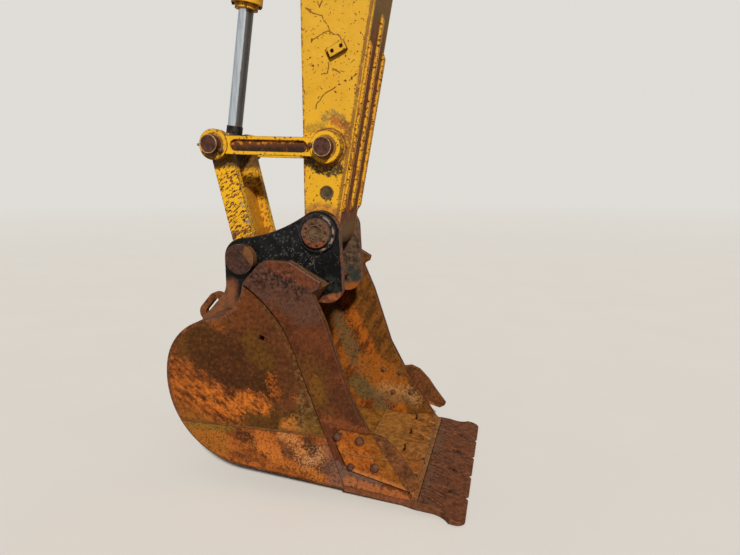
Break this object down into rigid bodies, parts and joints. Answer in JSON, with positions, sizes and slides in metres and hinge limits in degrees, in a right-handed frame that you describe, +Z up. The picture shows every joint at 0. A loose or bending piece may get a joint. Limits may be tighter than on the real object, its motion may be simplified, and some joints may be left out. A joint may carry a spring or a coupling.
{
  "type": "excavator dipper arm with bucket cylinder, linkage and toothed bucket",
  "caption": "Hanging excavator dipper arm: box-section stick, bucket cylinder, idler arms and bucket link, and a toothed digging bucket on its pins.",
  "frame": {"origin": "centre of the boom pivot bore at the top of the dipper arm, midway across the arm", "axes": "+Z up along the hanging arm, +Y along the pivot bores to the machine's right, +X towards the machine"},
  "size_m": [1.6266, 1.102, 5.0199],
  "materials": {
    "yellow_paint": "faded and chipped yellow paint with rust at the chips",
    "dark_paint": "worn black paint rubbed to rust at the edges",
    "rusty_plate": "brown rust with traces of paint and dried soil",
    "ground_steel": "earth-worn cast steel",
    "rusty_casting": "rusty casting",
    "pin_steel": "rusty turned steel",
    "chrome_rod": "hard chrome, bright"
  },
  "bodies": {
    "stick": {"stick_side_left": "yellow_paint", "stick_side_right": "yellow_paint", "stick_front_plate": "yellow_paint", "stick_belly_plate": "yellow_paint", "nose_boss": "yellow_paint", "idler_boss": "yellow_paint", "boom_pivot_boss": "yellow_paint", "horn_bosses": "yellow_paint", "cylinder_bracket": "yellow_paint", "wear_bars": "yellow_paint", "hose_clamps": "yellow_paint", "base_pin": "pin_steel"},
    "idler": {"idler_arm_left": "yellow_paint", "idler_arm_right": "yellow_paint", "idler_pin": "pin_steel", "idler_pin_ends": "pin_steel"},
    "link": {"bucket_link": "yellow_paint", "fork_pins": "pin_steel"},
    "barrel": {"barrel": "yellow_paint", "barrel_eye": "yellow_paint", "gland": "yellow_paint", "oil_pipes": "yellow_paint"},
    "rod": {"rod": "chrome_rod", "rod_eye": "rusty_casting", "rod_pin": "pin_steel"},
    "bucket": {"wrapper": "rusty_plate", "top_box": "rusty_plate", "cheek_left": "rusty_plate", "cheek_right": "rusty_plate", "side_bar_left": "rusty_plate", "side_bar_right": "rusty_plate", "heel_plate_left": "rusty_plate", "heel_plate_right": "rusty_plate", "ear_left": "dark_paint", "ear_right": "dark_paint", "cutting_edge": "ground_steel", "adapters": "ground_steel", "tooth_1": "ground_steel", "tooth_2": "ground_steel", "tooth_3": "ground_steel", "tooth_4": "ground_steel", "tooth_5": "ground_steel", "side_cutter_left": "ground_steel", "side_cutter_right": "ground_steel", "lifting_eye": "rusty_plate", "bucket_pin": "pin_steel", "link_pin": "pin_steel"}
  },
  "joints": [
    {"name": "bucket_curl", "type": "hinge", "parent": "stick", "child": "bucket", "pos_m": [-0.45, 0, -2.863], "axis": [0, -1, 0], "range_deg": [-65, 105]},
    {"name": "idler_swing", "type": "hinge", "parent": "stick", "child": "idler", "pos_m": [-0.405, 0, -2.437], "axis": [0, -1, 0], "range_deg": [-39.1, 63.1]},
    {"name": "link_swing", "type": "hinge", "parent": "bucket", "child": "link", "pos_m": [-0.87743, 0, -3.01], "axis": [0, -1, 0], "range_deg": [-63.1, 39.1]},
    {"name": "cylinder_swing", "type": "hinge", "parent": "stick", "child": "barrel", "pos_m": [-0.681, 0, -0.255], "axis": [0, -1, 0], "range_deg": [-3, 4.8]},
    {"name": "rod_slide", "type": "slide", "parent": "barrel", "child": "rod", "axis": [-0.1545, 0, -0.988], "range_m": [-0.366, 0.59]}
  ],
  "couplings": [
    {"joint": "idler_swing", "follows": "bucket_curl", "ratio": 0.6},
    {"joint": "link_swing", "follows": "bucket_curl", "ratio": -0.6},
    {"joint": "cylinder_swing", "follows": "bucket_curl", "ratio": 0.045},
    {"joint": "rod_slide", "follows": "bucket_curl", "m_per_rad": 0.3209}
  ]
}
